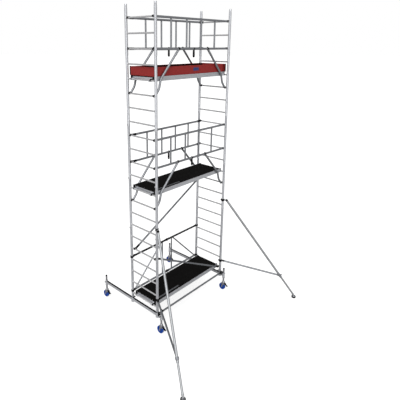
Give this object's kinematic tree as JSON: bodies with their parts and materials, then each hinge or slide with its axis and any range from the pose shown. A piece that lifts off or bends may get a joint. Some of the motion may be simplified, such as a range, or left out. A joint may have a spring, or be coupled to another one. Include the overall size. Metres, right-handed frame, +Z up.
{
  "type": "mobile tower scaffold",
  "caption": "Narrow wheeled aluminium scaffold tower: two ladder ends joined by hatch platforms, guardrails, red toe boards, braces and a folding gate, steadied by two front stabilisers.",
  "frame": {"origin": "on the floor, at the middle of the whole tower's bounding box", "axes": "+X along the tower's length, +Y towards its rear, +Z up"},
  "size_m": [3.7274, 3.1142, 5.99],
  "materials": {
    "aluminium": "mill-finish extruded tube",
    "rail_aluminium": "mill-finish tube, duller",
    "zinc_steel": "zinc-plated pressed steel",
    "black_plastic": "moulded, fine texture",
    "deck_black": "film-faced plywood with a pressed anti-slip pattern",
    "toe_board_red": "painted board",
    "wheel_blue": "solid blue castor wheel",
    "rubber": "moulded rubber foot"
  },
  "bodies": {
    "tower": {"left_base_frame": "aluminium", "left_lower_frame": "aluminium", "left_middle_frame": "aluminium", "left_top_frame": "aluminium", "left_traverse": "aluminium", "left_gate": "rail_aluminium", "left_toe_board": "toe_board_red", "right_base_frame": "aluminium", "right_lower_frame": "aluminium", "right_middle_frame": "aluminium", "right_top_frame": "aluminium", "right_traverse": "aluminium", "right_gate": "rail_aluminium", "right_toe_board": "toe_board_red", "front_toe_board": "toe_board_red", "rear_toe_board": "toe_board_red", "base_brace": "aluminium", "rear_diagonal_brace": "aluminium", "front_diagonal_brace": "aluminium", "base_platform_frame": "aluminium", "base_platform_deck": "deck_black", "middle_platform_frame": "aluminium", "middle_platform_deck": "deck_black", "upper_platform_frame": "aluminium", "upper_platform_deck": "deck_black", "middle_front_guardrail": "rail_aluminium", "middle_rear_guardrail": "rail_aluminium", "upper_front_guardrail": "rail_aluminium", "upper_rear_guardrail": "rail_aluminium"},
    "base_hatch": {"base_platform_hatch": "deck_black"},
    "middle_hatch": {"middle_platform_hatch": "deck_black"},
    "upper_hatch": {"upper_platform_hatch": "deck_black"},
    "middle_front_guardrail_lever": {"middle_front_guardrail_lever": "black_plastic"},
    "middle_rear_guardrail_lever": {"middle_rear_guardrail_lever": "black_plastic"},
    "upper_front_guardrail_lever": {"upper_front_guardrail_lever": "black_plastic"},
    "upper_rear_guardrail_lever": {"upper_rear_guardrail_lever": "black_plastic"},
    "front_left_castor_stem": {"front_left_castor_stem": "zinc_steel"},
    "front_left_castor_fork": {"front_left_castor_fork": "zinc_steel"},
    "front_left_castor_wheel": {"front_left_castor_wheel": "wheel_blue"},
    "front_left_castor_brake": {"front_left_castor_brake": "black_plastic"},
    "rear_left_castor_stem": {"rear_left_castor_stem": "zinc_steel"},
    "rear_left_castor_fork": {"rear_left_castor_fork": "zinc_steel"},
    "rear_left_castor_wheel": {"rear_left_castor_wheel": "wheel_blue"},
    "rear_left_castor_brake": {"rear_left_castor_brake": "black_plastic"},
    "front_right_castor_stem": {"front_right_castor_stem": "zinc_steel"},
    "front_right_castor_fork": {"front_right_castor_fork": "zinc_steel"},
    "front_right_castor_wheel": {"front_right_castor_wheel": "wheel_blue"},
    "front_right_castor_brake": {"front_right_castor_brake": "black_plastic"},
    "rear_right_castor_stem": {"rear_right_castor_stem": "zinc_steel"},
    "rear_right_castor_fork": {"rear_right_castor_fork": "zinc_steel"},
    "rear_right_castor_wheel": {"rear_right_castor_wheel": "wheel_blue"},
    "rear_right_castor_brake": {"rear_right_castor_brake": "black_plastic"},
    "left_stabiliser": {"left_stabiliser_tube": "aluminium", "left_stabiliser_strut": "aluminium"},
    "left_stabiliser_extension": {"left_stabiliser_extension": "aluminium"},
    "left_stabiliser_foot": {"left_stabiliser_foot": "rubber"},
    "right_stabiliser": {"right_stabiliser_tube": "aluminium", "right_stabiliser_strut": "aluminium"},
    "right_stabiliser_extension": {"right_stabiliser_extension": "aluminium"},
    "right_stabiliser_foot": {"right_stabiliser_foot": "rubber"}
  },
  "joints": [
    {"name": "base_hatch_lift", "type": "hinge", "parent": "tower", "child": "base_hatch", "pos_m": [-0.54, 0.01914, 0.575], "axis": [1, 0, 0], "range_deg": [0, 88]},
    {"name": "middle_hatch_lift", "type": "hinge", "parent": "tower", "child": "middle_hatch", "pos_m": [-0.54, 0.01914, 2.825], "axis": [1, 0, 0], "range_deg": [0, 88]},
    {"name": "upper_hatch_lift", "type": "hinge", "parent": "tower", "child": "upper_hatch", "pos_m": [-0.54, 0.01914, 4.825], "axis": [1, 0, 0], "range_deg": [0, 88]},
    {"name": "middle_front_guardrail_lever_turn", "type": "hinge", "parent": "tower", "child": "middle_front_guardrail_lever", "pos_m": [0, -0.06386, 3.27], "axis": [1, 0, 0], "range_deg": [-75, 75]},
    {"name": "middle_rear_guardrail_lever_turn", "type": "hinge", "parent": "tower", "child": "middle_rear_guardrail_lever", "pos_m": [0, 0.54814, 3.27], "axis": [1, 0, 0], "range_deg": [-75, 75]},
    {"name": "upper_front_guardrail_lever_turn", "type": "hinge", "parent": "tower", "child": "upper_front_guardrail_lever", "pos_m": [0, -0.06386, 5.27], "axis": [1, 0, 0], "range_deg": [-75, 75]},
    {"name": "upper_rear_guardrail_lever_turn", "type": "hinge", "parent": "tower", "child": "upper_rear_guardrail_lever", "pos_m": [0, 0.54814, 5.27], "axis": [1, 0, 0], "range_deg": [-75, 75]},
    {"name": "front_left_castor_height", "type": "slide", "parent": "tower", "child": "front_left_castor_stem", "axis": [0, 0, 1], "range_m": [-0.15, 0]},
    {"name": "front_left_castor_swivel", "type": "hinge", "parent": "front_left_castor_stem", "child": "front_left_castor_fork", "pos_m": [-0.99, -0.21586, 0.18], "axis": [0, 0, 1], "continuous": true},
    {"name": "front_left_castor_roll", "type": "hinge", "parent": "front_left_castor_fork", "child": "front_left_castor_wheel", "pos_m": [-0.99, -0.19086, 0.075], "axis": [1, 0, 0], "continuous": true},
    {"name": "front_left_castor_brake_press", "type": "hinge", "parent": "front_left_castor_fork", "child": "front_left_castor_brake", "pos_m": [-0.99, -0.26286, 0.15], "axis": [1, 0, 0], "range_deg": [0, 12]},
    {"name": "rear_left_castor_height", "type": "slide", "parent": "tower", "child": "rear_left_castor_stem", "axis": [0, 0, 1], "range_m": [-0.15, 0]},
    {"name": "rear_left_castor_swivel", "type": "hinge", "parent": "rear_left_castor_stem", "child": "rear_left_castor_fork", "pos_m": [-0.99, 1.45714, 0.18], "axis": [0, 0, 1], "continuous": true},
    {"name": "rear_left_castor_roll", "type": "hinge", "parent": "rear_left_castor_fork", "child": "rear_left_castor_wheel", "pos_m": [-0.99, 1.48214, 0.075], "axis": [1, 0, 0], "continuous": true},
    {"name": "rear_left_castor_brake_press", "type": "hinge", "parent": "rear_left_castor_fork", "child": "rear_left_castor_brake", "pos_m": [-0.99, 1.41014, 0.15], "axis": [1, 0, 0], "range_deg": [0, 12]},
    {"name": "front_right_castor_height", "type": "slide", "parent": "tower", "child": "front_right_castor_stem", "axis": [0, 0, 1], "range_m": [-0.15, 0]},
    {"name": "front_right_castor_swivel", "type": "hinge", "parent": "front_right_castor_stem", "child": "front_right_castor_fork", "pos_m": [0.99, -0.21586, 0.18], "axis": [0, 0, 1], "continuous": true},
    {"name": "front_right_castor_roll", "type": "hinge", "parent": "front_right_castor_fork", "child": "front_right_castor_wheel", "pos_m": [0.99, -0.19086, 0.075], "axis": [1, 0, 0], "continuous": true},
    {"name": "front_right_castor_brake_press", "type": "hinge", "parent": "front_right_castor_fork", "child": "front_right_castor_brake", "pos_m": [0.99, -0.26286, 0.15], "axis": [1, 0, 0], "range_deg": [0, 12]},
    {"name": "rear_right_castor_height", "type": "slide", "parent": "tower", "child": "rear_right_castor_stem", "axis": [0, 0, 1], "range_m": [-0.15, 0]},
    {"name": "rear_right_castor_swivel", "type": "hinge", "parent": "rear_right_castor_stem", "child": "rear_right_castor_fork", "pos_m": [0.99, 1.45714, 0.18], "axis": [0, 0, 1], "continuous": true},
    {"name": "rear_right_castor_roll", "type": "hinge", "parent": "rear_right_castor_fork", "child": "rear_right_castor_wheel", "pos_m": [0.99, 1.48214, 0.075], "axis": [1, 0, 0], "continuous": true},
    {"name": "rear_right_castor_brake_press", "type": "hinge", "parent": "rear_right_castor_fork", "child": "rear_right_castor_brake", "pos_m": [0.99, 1.41014, 0.15], "axis": [1, 0, 0], "range_deg": [0, 12]},
    {"name": "left_stabiliser_swing", "type": "hinge", "parent": "tower", "child": "left_stabiliser", "pos_m": [-0.99, -0.11086, 0.69], "axis": [0, 0, 1], "range_deg": [-45, 60]},
    {"name": "left_stabiliser_extend", "type": "slide", "parent": "left_stabiliser", "child": "left_stabiliser_extension", "axis": [-0.3032, -0.5127, -0.8032], "range_m": [-0.35, 0]},
    {"name": "left_stabiliser_foot_tilt", "type": "hinge", "parent": "left_stabiliser_extension", "child": "left_stabiliser_foot", "pos_m": [-1.81872, -1.51214, 0.05], "axis": [-0.8607, 0.509, 0], "range_deg": [-25, 25]},
    {"name": "right_stabiliser_swing", "type": "hinge", "parent": "tower", "child": "right_stabiliser", "pos_m": [0.99, -0.11086, 0.69], "axis": [0, 0, 1], "range_deg": [-60, 45]},
    {"name": "right_stabiliser_extend", "type": "slide", "parent": "right_stabiliser", "child": "right_stabiliser_extension", "axis": [0.3032, -0.5127, -0.8032], "range_m": [-0.35, 0]},
    {"name": "right_stabiliser_foot_tilt", "type": "hinge", "parent": "right_stabiliser_extension", "child": "right_stabiliser_foot", "pos_m": [1.81872, -1.51214, 0.05], "axis": [-0.8607, -0.509, 0], "range_deg": [-25, 25]}
  ]
}
